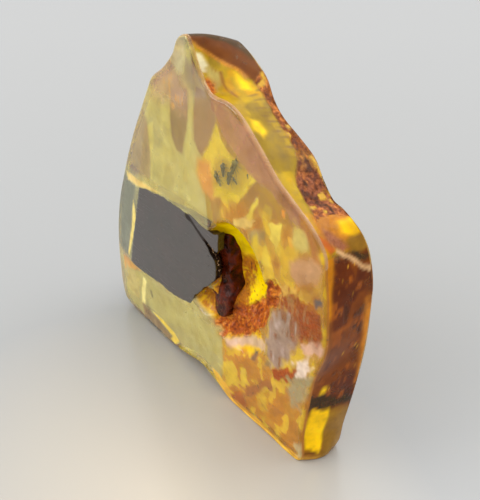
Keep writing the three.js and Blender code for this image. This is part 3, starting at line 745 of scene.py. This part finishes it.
LOW_FACETS = (
    (((4.2, 9.0), (8.6, 10.4), (12.6, 9.8), (15.9, 12.0), (17.2, 6.0), (16.8, 0.0), (3.6, 0.0)),
     (0.92, 0.46, 0.04)),
    (LOW_GLINT, (1.0, 0.76, 0.03)),
    (NARROW_GLINT, (1.0, 0.76, 0.04)),
    (((8.6, 10.2), (10.3, 10.2), (12.4, 9.6), (11.7, 7.8), (9.4, 4.8), (8.5, 7.2)), (0.92, 0.50, 0.07)),
    (((8.4, 3.1), (10.4, 6.2), (13.3, 8.1), (15.2, 7.4), (16.2, 6.1), (16.7, 3.5), (15.3, 1.0),
     (9.3, 1.1)), (1.0, 0.50, 0.02)),
    (((10.5, 4.4), (12.6, 5.8), (14.3, 5.2), (12.7, 3.2), (10.8, 3.2)), (0.66, 0.30, 0.06)),
    (((14.0, 6.9), (15.5, 8.1), (16.2, 6.1), (15.1, 4.4), (14.1, 5.1)), (1.0, 0.62, 0.03)),
    (((10.4, 5.8), (11.9, 6.8), (12.0, 5.4), (10.9, 4.6)), (1.0, 0.72, 0.08)),
)
BROWN_SEAMS = (
    ((6.2, 1.2), (8.4, 4.5), (11.2, 7.5), (13.0, 8.4), (13.2, 7.8), (11.6, 6.9), (8.9, 4.1),
     (6.9, 1.0)),
    ((-14.5, 3.3), (-11.4, 3.6), (-6.4, 2.6), (-6.8, 0.9), (-10.7, 0.9), (-14.1, 1.2)),
)


def curtain_marks(x, z):
    """The hazes, curtains and patches of the layer behind the face, where they show on the face."""
    flat = np.stack([x, 0 * x, z], -1)
    wave = rise(x, 1, 3) * 0.3 + 0.06
    marks = Marks(x + wave * lumps(flat, 0.9, 35), z + wave * lumps(flat, 0.9, 44), (1.0, 0.64, 0.10))
    marks.film += 0.66
    swirl = lumps(flat * (1, 1, 0.5) + 1.2 * lumps(flat, 3.1, 32)[..., None], 1.8, 31)
    marks.lay(rise(swirl, 0.0, 0.12), (0.84, 0.50, 0.12), film=0.75)
    marks.lay(rise(swirl, 0.42, 0.5), (1.0, 0.76, 0.12), film=0.85)
    drape = lumps(flat * (1, 1, 0.12), 1.5, 33)
    marks.lay(VEIL, (0.90, 0.86, 0.36), 0.35, film=0.55)
    marks.lay(rise(margin(VEIL, x, z), 0, 0.4) * rise(drape, -0.2, 0.5) * rise(z, 12, 24),
              (0.98, 0.90, 0.36), film=0.7)
    marks.lay(FAR_TAN, (0.64, 0.47, 0.22), 0.4, film=0.7)
    marks.lay(LOBE_LEFT, (0.46, 0.30, 0.12), 0.4, film=0.85)
    marks.lay(LOBE_RIGHT, (0.62, 0.35, 0.13), 0.3, film=0.85)
    marks.lay(TEARDROP, (1.0, 0.72, 0.09), 0.35, film=0.96)
    marks.lay(PEACH, (1.0, 0.50, 0.10), 1.0, film=0.95)
    marks.lay(TEARDROP_HEART, (1.0, 0.82, 0.06), 0.5, film=0.98)
    for line in BRIGHT_LINES:
        marks.lay(line, (1.0, 0.92, 0.34), 0.3, film=0.95)
    for outline, tint, soft in FLOW_SHARDS:
        marks.lay(outline, tint, soft, film=0.93)
    for facet, tint in LOW_FACETS:
        marks.lay(facet, tint, 0.12, film=0.9)
    for seam in BROWN_SEAMS:
        marks.lay(seam, (0.36, 0.16, 0.05), 0.3, film=0.7)
    return marks


def flow_finish():
    """Hazy resin: a dull film with nothing round it."""
    finish = Finish("flow_layer")
    wisps = finish.noise(1.3, 4, stretch=(1, 1, 0.25))
    deep = finish.shaded(finish.tint(), (0.86, 0.80, 0.66))
    colour = finish.mix((wisps * 1.6 - 0.4).clamped(), finish.tint(), deep)
    haze = finish.solid(Base_Color=colour, Roughness=0.8, Specular_IOR_Level=0.0)
    nothing = finish.node("ShaderNodeBsdfTransparent", {}, {"Color": (1, 1, 1, 1)})
    amount = finish.mark("film") * (wisps * 0.5 + 0.75)
    finish.surface(finish.blend(amount.clamped(), nothing, haze))
    return finish.material


def curtain(name):
    """A hazy layer behind the face, with a hole for the beetle and the pit."""
    bm = bmesh.new()
    columns, lines = round(CURTAIN_WIDTH / CURTAIN_STEP), round(CURTAIN_HEIGHT / CURTAIN_STEP)
    bmesh.ops.create_grid(bm, x_segments=columns, y_segments=lines, size=0.5)
    share = np.array([(v.co.x + 0.5, v.co.y + 0.5) for v in bm.verts]).T
    x, z = share[0] * CURTAIN_WIDTH + CURTAIN_LEFT, share[1] * CURTAIN_HEIGHT
    rim_gap = margin(tuple(map(tuple, rounded(FACE_RIM, 2 * len(FACE_RIM)))), x, z)
    space = np.maximum(margin(BEETLE_SPACE, x, z), rise(pit_depth(x, z), 0.0, 0.3) * 2 - 0.5)
    marks = curtain_marks(x + LEAN_X * FLOW_DEPTH, z + LEAN_Z * FLOW_DEPTH)
    marks.film *= rise(rim_gap, CURTAIN_GAP, 1.3) * rise(-space, 0, 0.4)
    y = face_depth(x, z) + FLOW_DEPTH + 0.12 * lumps(np.stack([x, 0 * x, z], -1), 4, 34)
    layers = mark_layers(bm, marks, ("film",))
    outside = []
    for i, v in enumerate(bm.verts):
        v.co = FOOT + Vector((x[i], y[i], z[i])) * MM
        for layer, values in layers:
            v[layer] = values[i]
        if rim_gap[i] < CURTAIN_GAP or space[i] > 0:
            outside.append(v)
    bmesh.ops.delete(bm, geom=outside, context="VERTS")
    return smoothed(name, bm)


def cloud():
    """Rows and marks of the cloudy layer, about a millimetre inside the back and the thick edge."""
    face_edge = FACE_ROWS + TURN_ROWS - 1
    back_edge = face_edge + EDGE_ROWS + 1
    first, last = slab_rows[face_edge], slab_rows[back_edge]
    t = np.linspace(0.28, 0.84, 14)[:, None, None]
    side = first + (last - first) * t
    side[..., 0] -= slab_outward[:, 0] * CLOUD_DEPTH
    side[..., 2] -= slab_outward[:, 1] * CLOUD_DEPTH
    back = slab_rows[back_edge:].copy()
    pole = np.array((PIT_MIDDLE[0], 0, PIT_MIDDLE[1]))
    back = pole + (back - pole) * (0.93, 1, 0.93)
    back[..., 1] -= CLOUD_DEPTH
    rows = np.concatenate([side, back])
    rows[..., 2] = np.maximum(rows[..., 2], 0.7)
    x, z = rows[..., 0], rows[..., 2]
    marks = Marks(x, z, (0.88, 0.66, 0.12))
    p = rows * (1, 1, 0.5)
    marks.film += 0.32 + 0.2 * lumps(p, 2.4, 41)
    marks.lay(rise(lumps(p, 1.5, 42), 0.25, 0.4), (1.0, 0.80, 0.16), film=0.7)
    marks.lay(rise(lumps(p, 2.6, 43), 0.3, 0.5), (0.62, 0.36, 0.10), film=0.6)
    pale = 1 - rise(x, -2, 4)
    marks.tint += (np.array((0.85, 0.80, 0.42)) - marks.tint) * (0.7 * pale * (z < 36))[..., None]
    marks.film *= rise(np.arange(len(rows))[:, None], 0, 3)
    return rows, marks


curtain_layer = curtain("flow_curtain")
cloud_layer = wrap("flow_cloud", *cloud())
haze = flow_finish()
for layer in (curtain_layer, cloud_layer):
    layer.data.materials.append(haze)
    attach(layer, "root")

# ---- The wing cases ---------------------------------------------------------------------------------
# Two plates of beetle shell, charcoal grey where the grinding cut through them. The large one dips
# under the left facet; its right end is broken. A crack parts it from the narrow second one.
LARGE_CASE = (
    (-17.2, 20.2), (-13.6, 21.2), (-11.5, 21.8), (-9.5, 22.2), (-7.3, 22.5), (-5.6, 22.6), (-4.0, 22.6),
    (-2.7, 22.5), (-2.6, 22.0), (-1.6, 21.8), (-0.7, 21.3), (0.3, 20.7), (1.1, 20.2), (1.9, 19.4),
    (2.6, 18.7), (2.8, 17.6), (2.6, 16.6), (1.9, 15.6), (1.2, 14.8), (0.2, 14.0), (-0.4, 13.0),
    (-1.3, 12.3), (-1.9, 11.2), (-2.6, 10.3), (-4.7, 9.7), (-6.6, 9.4), (-8.2, 9.4), (-9.9, 9.3),
    (-12.0, 9.0), (-13.8, 8.8), (-15.3, 8.8), (-17.8, 9.0), (-20.0, 9.2), (-20.1, 12.0), (-19.2, 15.6),
    (-18.2, 18.4),
)
SPLIT_CASE = (
    (-2.0, 22.7), (-0.9, 22.6), (0.4, 22.3), (1.7, 22.2), (2.7, 22.3), (3.3, 22.5), (3.3, 21.4),
    (3.1, 20.3), (2.3, 20.4), (1.2, 20.9), (0.0, 21.4), (-1.2, 22.1),
)
CASE_THICKNESS = 1.0
WORN_EDGE = 0.08  # depth of the worn edge


def plate(name, outline, middle, thickness, around, rings):
    """A plate flush with the polished face, with worn edges, that dips under the left facet."""
    rim = rounded(outline, around)
    pole = np.array(middle)
    edge = np.stack([rim[:, 0], 0 * rim[:, 0], rim[:, 1]], -1)
    rim = rim + (rim - pole) / np.hypot(*(rim - pole).T)[:, None] * (0.1 * lumps(edge, 0.5, 51))[:, None]

    def sheet(out, down):
        x, z = np.moveaxis(pole + (rim - pole) * out[:, None, None], -1, 0)
        under = 0.5 * rise(beyond_ridge(x, z), -0.25, 0.35)
        return np.stack([x, face_depth(x, z) - 0.02 + under + down[:, None], z], -1)

    spread = np.linspace(0, 0.985, rings)
    fall = np.linspace(0, 1, 8)
    ground = sheet(spread, 0 * spread)
    worn = sheet(0.985 + 0.015 * np.sin(fall * np.pi / 2), WORN_EDGE * fall**2)
    side = sheet(1 - 0.02 * fall, WORN_EDGE + fall * (thickness - WORN_EDGE))
    under_side = sheet(0.98 * (1 - fall), thickness + 0 * fall)
    rows = np.concatenate([ground, worn, side, under_side])
    marks = Marks(rows[..., 0], rows[..., 2])
    marks.film += rise(np.arange(len(rows))[:, None], rings + 3, rings + 8)
    return wrap(name, rows, marks)


def shell_finish():
    """Ground beetle shell: charcoal grey with brown clouds, faint scratches and dark pits."""
    finish = Finish("wing_case")
    cloudy = finish.noise(4.0, 3)
    grey = finish.mix((cloudy * 2 - 0.5).clamped(), (0.056, 0.050, 0.042, 1), (0.074, 0.056, 0.048, 1))
    smudge = (finish.noise(0.8, 4) * 6 - 4.1).clamped()
    marked = finish.mix(smudge * 0.5, grey, (0.15, 0.13, 0.11, 1))
    cells = {"Vector": finish.place(), "Scale": 1 / (1.9 * MM), "Randomness": 1.0}
    pits = 1 - (finish.number("ShaderNodeTexVoronoi", {"feature": "F1"}, cells) * 10 - 0.3).clamped()
    some = finish.noise(2.7, 1) > 0.56
    pitted = finish.mix(pits * some, marked, (0.02, 0.012, 0.01, 1))
    dark = finish.mix(finish.mark("film"), pitted, (0.016, 0.009, 0.006, 1))
    scratches = finish.noise(0.35, 3, stretch=(0.15, 1, 1))
    height = scratches * 0.04 - pits * some
    finish.surface(finish.solid(Base_Color=dark, Roughness=scratches * 0.12 + 0.2,
                                Normal=finish.bump(height, 0.05)))
    return finish.material


shell = shell_finish()
large_case = plate("large_wing_case_shell", LARGE_CASE, (-8.0, 15.8), CASE_THICKNESS, 300, 42)
split_case = plate("split_wing_case_shell", SPLIT_CASE, (1.6, 21.5), CASE_THICKNESS * 0.9, 120, 10)
for piece, node in ((large_case, "large_wing_case"), (split_case, "split_wing_case")):
    piece.data.materials.append(shell)
    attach(piece, "root")
    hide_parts(node)

# ---- The abdomen ------------------------------------------------------------------------------------
# The soft body under the wing cases, dried to a dark red-brown husk. Its tail end is broken open in
# the pit, in glassy facets.
ABDOMEN = (
    (-18.6, 18.4), (-14.0, 20.0), (-8.0, 21.2), (-4.0, 21.8), (-1.0, 21.9), (1.6, 21.9), (3.2, 21.6),
    (3.6, 20.2), (3.8, 18.8), (4.0, 17.2), (4.3, 15.4), (4.3, 13.8), (4.0, 12.3), (3.3, 11.2),
    (2.4, 11.0), (1.9, 11.3), (1.6, 12.2), (1.2, 13.2), (0.5, 14.0), (-1.4, 13.6), (-3.4, 12.4),
    (-6.0, 11.4), (-10.0, 10.8), (-14.0, 10.4), (-18.4, 10.6),
)


ABDOMEN_MIDDLE = (-3.0, 17.0)
HUSK_TOP, HUSK_BELLY = 1.02, 4.3
TAIL_LIFT = 0.7  # how far the broken tail stands up towards the face


def abdomen():
    """Rows of the abdomen's body from the middle of its top round to its belly."""
    rim = rounded(ABDOMEN, 260)
    pole = np.array(ABDOMEN_MIDDLE)

    def shell_row(out, y):
        x, z = np.moveaxis(pole + (rim - pole) * out[:, None, None], -1, 0)
        flat = np.stack([x, y[:, None] + 0 * x, z], -1)
        broken = rise(x, 2.9, 3.9)
        facets = np.abs(lumps(flat, 1.5, 61)) * 0.5 + 0.12 * lumps(flat, 0.5, 62)
        rings_of_body = 0.1 * np.abs(np.sin(x * 1.3))
        flat[..., 1] += rings_of_body * (1 - broken) + broken * facets
        flat[..., 0] -= broken * 0.5 * np.abs(lumps(flat[:, ::-1], 1.2, 63))
        flat[..., 1] -= TAIL_LIFT * rise(-z, -16.0, -13.8) * rise(x, 0.9, 1.6)
        return flat

    top = np.linspace(0, 0.97, 26)
    turn = np.linspace(0, np.pi, 16)
    belly = np.linspace(0.97, 0, 20)
    rows = [shell_row(top, np.full_like(top, HUSK_TOP)),
            shell_row(0.97 + 0.03 * np.sin(turn), 2.66 - 1.64 * np.cos(turn)),
            shell_row(belly, np.full_like(belly, HUSK_BELLY))]
    return np.concatenate(rows)


def husk_finish():
    """Dried beetle flesh: near black, with a deep red-brown glow on its broken facets."""
    finish = Finish("husk")
    facets = finish.noise(0.9, 3)
    glow = (facets * 2.4 - 0.8).clamped()
    colour = finish.mix(glow, (0.010, 0.002, 0.001, 1), (0.15, 0.018, 0.003, 1))
    chips = (finish.noise(0.22, 2) * 9 - 6.4).clamped()
    speckled = finish.mix(chips * 0.5, colour, (0.45, 0.28, 0.16, 1))
    finish.surface(finish.solid(Base_Color=speckled, Roughness=0.25,
                                Specular_IOR_Level=0.14, Normal=finish.bump(facets, 0.35)))
    return finish.material


husk = wrap("abdomen_husk", abdomen())
husk.data.materials.append(husk_finish())
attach(husk, "root")
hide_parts("abdomen")

# ---- Crumbs along the crack -------------------------------------------------------------------------
# Grains of dried resin and shell lie along the crack between the wing cases and round the broken tail.
CRACK = (
    (-2.4, 22.3), (-1.2, 21.9), (0.0, 21.2), (1.0, 20.6), (2.0, 19.9), (2.8, 19.3), (3.2, 18.2),
    (3.1, 17.0), (2.6, 16.0), (1.8, 15.1), (0.8, 14.2), (0.0, 13.2), (-1.0, 12.2), (-1.9, 11.0),
)


FULL_TURN = 6.28


def crumbs(name, route, count, size, spread, depth, seed):
    """Many small angular grains scattered along a route on the face, as one mesh."""
    random = np.random.default_rng(seed)
    bm = bmesh.new()
    line = np.array(route, float)
    for _ in range(count):
        at = random.uniform(0, len(line) - 1)
        first = int(at)
        x, z = line[first] + (line[min(first + 1, len(line) - 1)] - line[first]) * (at - first)
        x, z = x + random.normal(0, spread), z + random.normal(0, spread)
        y = face_depth(x, z) + depth + random.uniform(0, 0.25)
        radius = size * random.uniform(0.4, 1.0)
        turn = Matrix.Rotation(random.uniform(0, FULL_TURN), 4, Vector(random.normal(size=3)))
        stretch = Matrix.Diagonal((*random.uniform(0.6, 1.5, 3), 1))
        spot = Matrix.Translation(FOOT + Vector((x, y, z)) * MM)
        bmesh.ops.create_icosphere(bm, subdivisions=1, radius=radius * MM, matrix=spot @ turn @ stretch)
    return placed(name, bm)


def crumb_finish():
    """Tan to pale grains."""
    finish = Finish("crumbs")
    tone = (finish.noise(0.5, 2) * 3 - 1).clamped()
    colour = finish.mix(tone, (0.12, 0.05, 0.02, 1), (0.50, 0.30, 0.14, 1))
    finish.surface(finish.solid(Base_Color=colour, Roughness=0.5))
    return finish.material


crack_crumbs = crumbs("crack_crumbs", CRACK, count=80, size=0.06, spread=0.06, depth=0.12, seed=71)
crack_crumbs.data.materials.append(crumb_finish())
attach(crack_crumbs, "root")

# ---- The gnats --------------------------------------------------------------------------------------
# Six tiny gnats in the bright flow over the pit, four of 1.5 to 1.8 mm and two of less than a
# millimetre: each a round head with feelers, a humped thorax, a slim abdomen, two wings and six legs.
GNAT_DEPTH = 0.45
GNAT_TILT = 0.5
# Where each one shows on the face, its turn and its size: x, z, turn, size.
GNATS = (
    (4.2, 30.4, -1.41, 1.1), (3.3, 29.1, -2.04, 1.2), (5.9, 31.4, -1.06, 1.3),
    (5.2, 29.9, -1.13, 1.2), (6.0, 29.9, -2.36, 0.6), (7.9, 31.1, -1.58, 0.4),
)


def limb(bm, start, end, radius):
    """A thin tapering rod between two points."""
    a, b = Vector(start), Vector(end)
    turn = (b - a).to_track_quat("Z", "Y").to_matrix().to_4x4()
    bmesh.ops.create_cone(bm, cap_ends=True, segments=6, radius1=radius, radius2=radius * 0.55,
                          depth=(b - a).length, matrix=Matrix.Translation((a + b) / 2) @ turn)


def gnat(name, x, z, turn, size):
    """A gnat at a place where it shows on the face, its head along +X before it is turned."""
    bm = bmesh.new()
    ball = {"u_segments": 14, "v_segments": 9}

    def lobe(middle, half):
        matrix = Matrix.Translation(middle) @ Matrix.Diagonal((*half, 1))
        bmesh.ops.create_uvsphere(bm, radius=1, matrix=matrix, **ball)

    lobe((0.50, 0, 0.02), (0.15, 0.20, 0.18))
    lobe((0.22, 0, 0.08), (0.26, 0.28, 0.30))
    for ring in range(5):
        thinner = 0.022 * ring
        lobe((-0.02 - 0.15 * ring, 0, 0.02 - 0.03 * ring), (0.13, 0.25 - thinner, 0.24 - thinner))
    for side in (-1, 1):
        limb(bm, (0.6, side * 0.04, 0.06), (0.78, side * 0.16, 0.16), 0.014)
        limb(bm, (0.78, side * 0.16, 0.16), (0.98, side * 0.2, 0.12), 0.012)
        for leg in range(3):
            hip = Vector((0.3 - 0.14 * leg, side * 0.1, -0.06))
            knee = hip + Vector((0.16 - 0.2 * leg, side * 0.26, -0.22))
            foot = knee + Vector((0.1 - 0.22 * leg, side * 0.1, -0.36))
            limb(bm, hip, knee, 0.022)
            limb(bm, knee, foot, 0.016)
        wing = Matrix.Translation((-0.22, side * 0.16, 0.2)) @ Matrix.Rotation(side * 0.25, 4, "Z")
        flat = Matrix.Diagonal((0.5, 0.16, 0.008, 1))
        bmesh.ops.create_uvsphere(bm, radius=1, matrix=wing @ flat, **ball)
    depth = face_depth(np.array(x), np.array(z)) + GNAT_DEPTH
    place = Vector((x - LEAN_X * GNAT_DEPTH, float(depth), z - LEAN_Z * GNAT_DEPTH))
    tilted = Matrix.Rotation(turn, 4, "Y") @ Matrix.Rotation(GNAT_TILT, 4, "X")
    turned = tilted @ Matrix.Scale(size * MM, 4)
    bmesh.ops.transform(bm, matrix=Matrix.Translation(FOOT + place * MM) @ turned, verts=bm.verts)
    for f in bm.faces:
        f.smooth = True
    return placed(name, bm)


def gnat_finish():
    """Dark grey-brown, a little lighter in patches."""
    finish = Finish("gnat")
    colour = finish.mix(finish.noise(0.3, 3), (0.012, 0.010, 0.008, 1), (0.09, 0.07, 0.045, 1))
    finish.surface(finish.solid(Base_Color=colour, Roughness=0.35))
    return finish.material


dark_shell = gnat_finish()
for number, gnat_place in enumerate(GNATS, start=1):
    insect = gnat(f"gnat_{number}", *gnat_place)
    insect.data.materials.append(dark_shell)
    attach(insect, "root")

# ---- The stand, light and camera --------------------------------------------------------------------
# A pale table in a white light tent, seen from the right and above the polished face, with a warm pool
# of light painted on it in front of the slab.
disc = bmesh.new()
bmesh.ops.create_circle(disc, cap_ends=True, segments=64, radius=1.2)
table = placed("pale_table_with_painted_caustic", disc)
pale = Finish("pale_table_with_painted_caustic")
# Painted caustic: a warm round patch of light on the table in front of the slab, where light through the
# amber would fall.
caustic_place = pale.node("ShaderNodeVectorMath", {"operation": "MULTIPLY_ADD"}, {
    0: pale.node("ShaderNodeTexCoord", out="Object"), 1: (30, 36, 0), 2: (-0.35, 0.66, 0)})
painted_caustic = pale.node("ShaderNodeTexGradient", {"gradient_type": "SPHERICAL"}, {"Vector": caustic_place})
table_and_painted_caustic_colour = pale.mix(painted_caustic, (0.29, 0.292, 0.288, 1), (0.50, 0.45, 0.37, 1))
pale.surface(pale.solid(Base_Color=table_and_painted_caustic_colour, Roughness=0.22))
table.data.materials.append(pale.material)

tent = Finish("light_tent", of_world=True)
upward = tent.node("ShaderNodeSeparateXYZ", {}, {
    "Vector": tent.node("ShaderNodeTexCoord", out="Generated")}, out="Z")
from_floor = tent.node("ShaderNodeMath", {"operation": "MULTIPLY_ADD"}, {0: upward, 1: 0.5, 2: 0.5})
sky = tent.node("ShaderNodeValToRGB", {}, {"Fac": from_floor})
horizon, zenith = sky.node.color_ramp.elements
horizon.position, zenith.position = 0.5, 0.85
horizon.color, zenith.color = (0.42, 0.43, 0.44, 1), (1, 1, 1, 1)
tent.surface(tent.node("ShaderNodeBackground", {}, {"Color": sky, "Strength": 1.6}))
bpy.context.scene.world = tent.material


def softbox(name, place, size, power):
    """A soft rectangular light aimed at the ground under the slab."""
    lamp = bpy.data.lights.new(name, "AREA")
    lamp.shape = "RECTANGLE"
    lamp.size, lamp.size_y = size
    lamp.energy = power
    stand = bpy.data.objects.new(name, lamp)
    stand.location = place
    stand.rotation_euler = (-Vector(place)).to_track_quat("-Z", "Y").to_euler()
    bpy.context.scene.collection.objects.link(stand)


softbox("top_softbox", (0.05, 0.25, 0.5), (0.5, 0.5), 1.2)
softbox("front_softbox", (-0.35, -0.45, 0.35), (0.4, 0.4), 1.8)

# Where the camera stands, in millimetres from the slab's origin, and which way it looks.
EYE = (52.74, -36.66, 60.51)
GAZE = (-0.65692, 0.52136, -0.54464)
lens = bpy.data.cameras.new("camera")
lens.lens = 50.4
lens.sensor_width = 36
lens.clip_start = 0.005
camera = bpy.data.objects.new("camera", lens)
camera.location = FOOT + Vector(EYE) * MM
camera.rotation_euler = Vector(GAZE).to_track_quat("-Z", "Y").to_euler()
bpy.context.scene.collection.objects.link(camera)
bpy.context.scene.camera = camera
bpy.context.scene.view_settings.view_transform = "Standard"
BOUNCES = {"max": 32, "glossy": 16, "diffuse": 8, "transmission": 24, "transparent_max": 24}
for kind, bounces in BOUNCES.items():
    setattr(bpy.context.scene.cycles, f"{kind}_bounces", bounces)
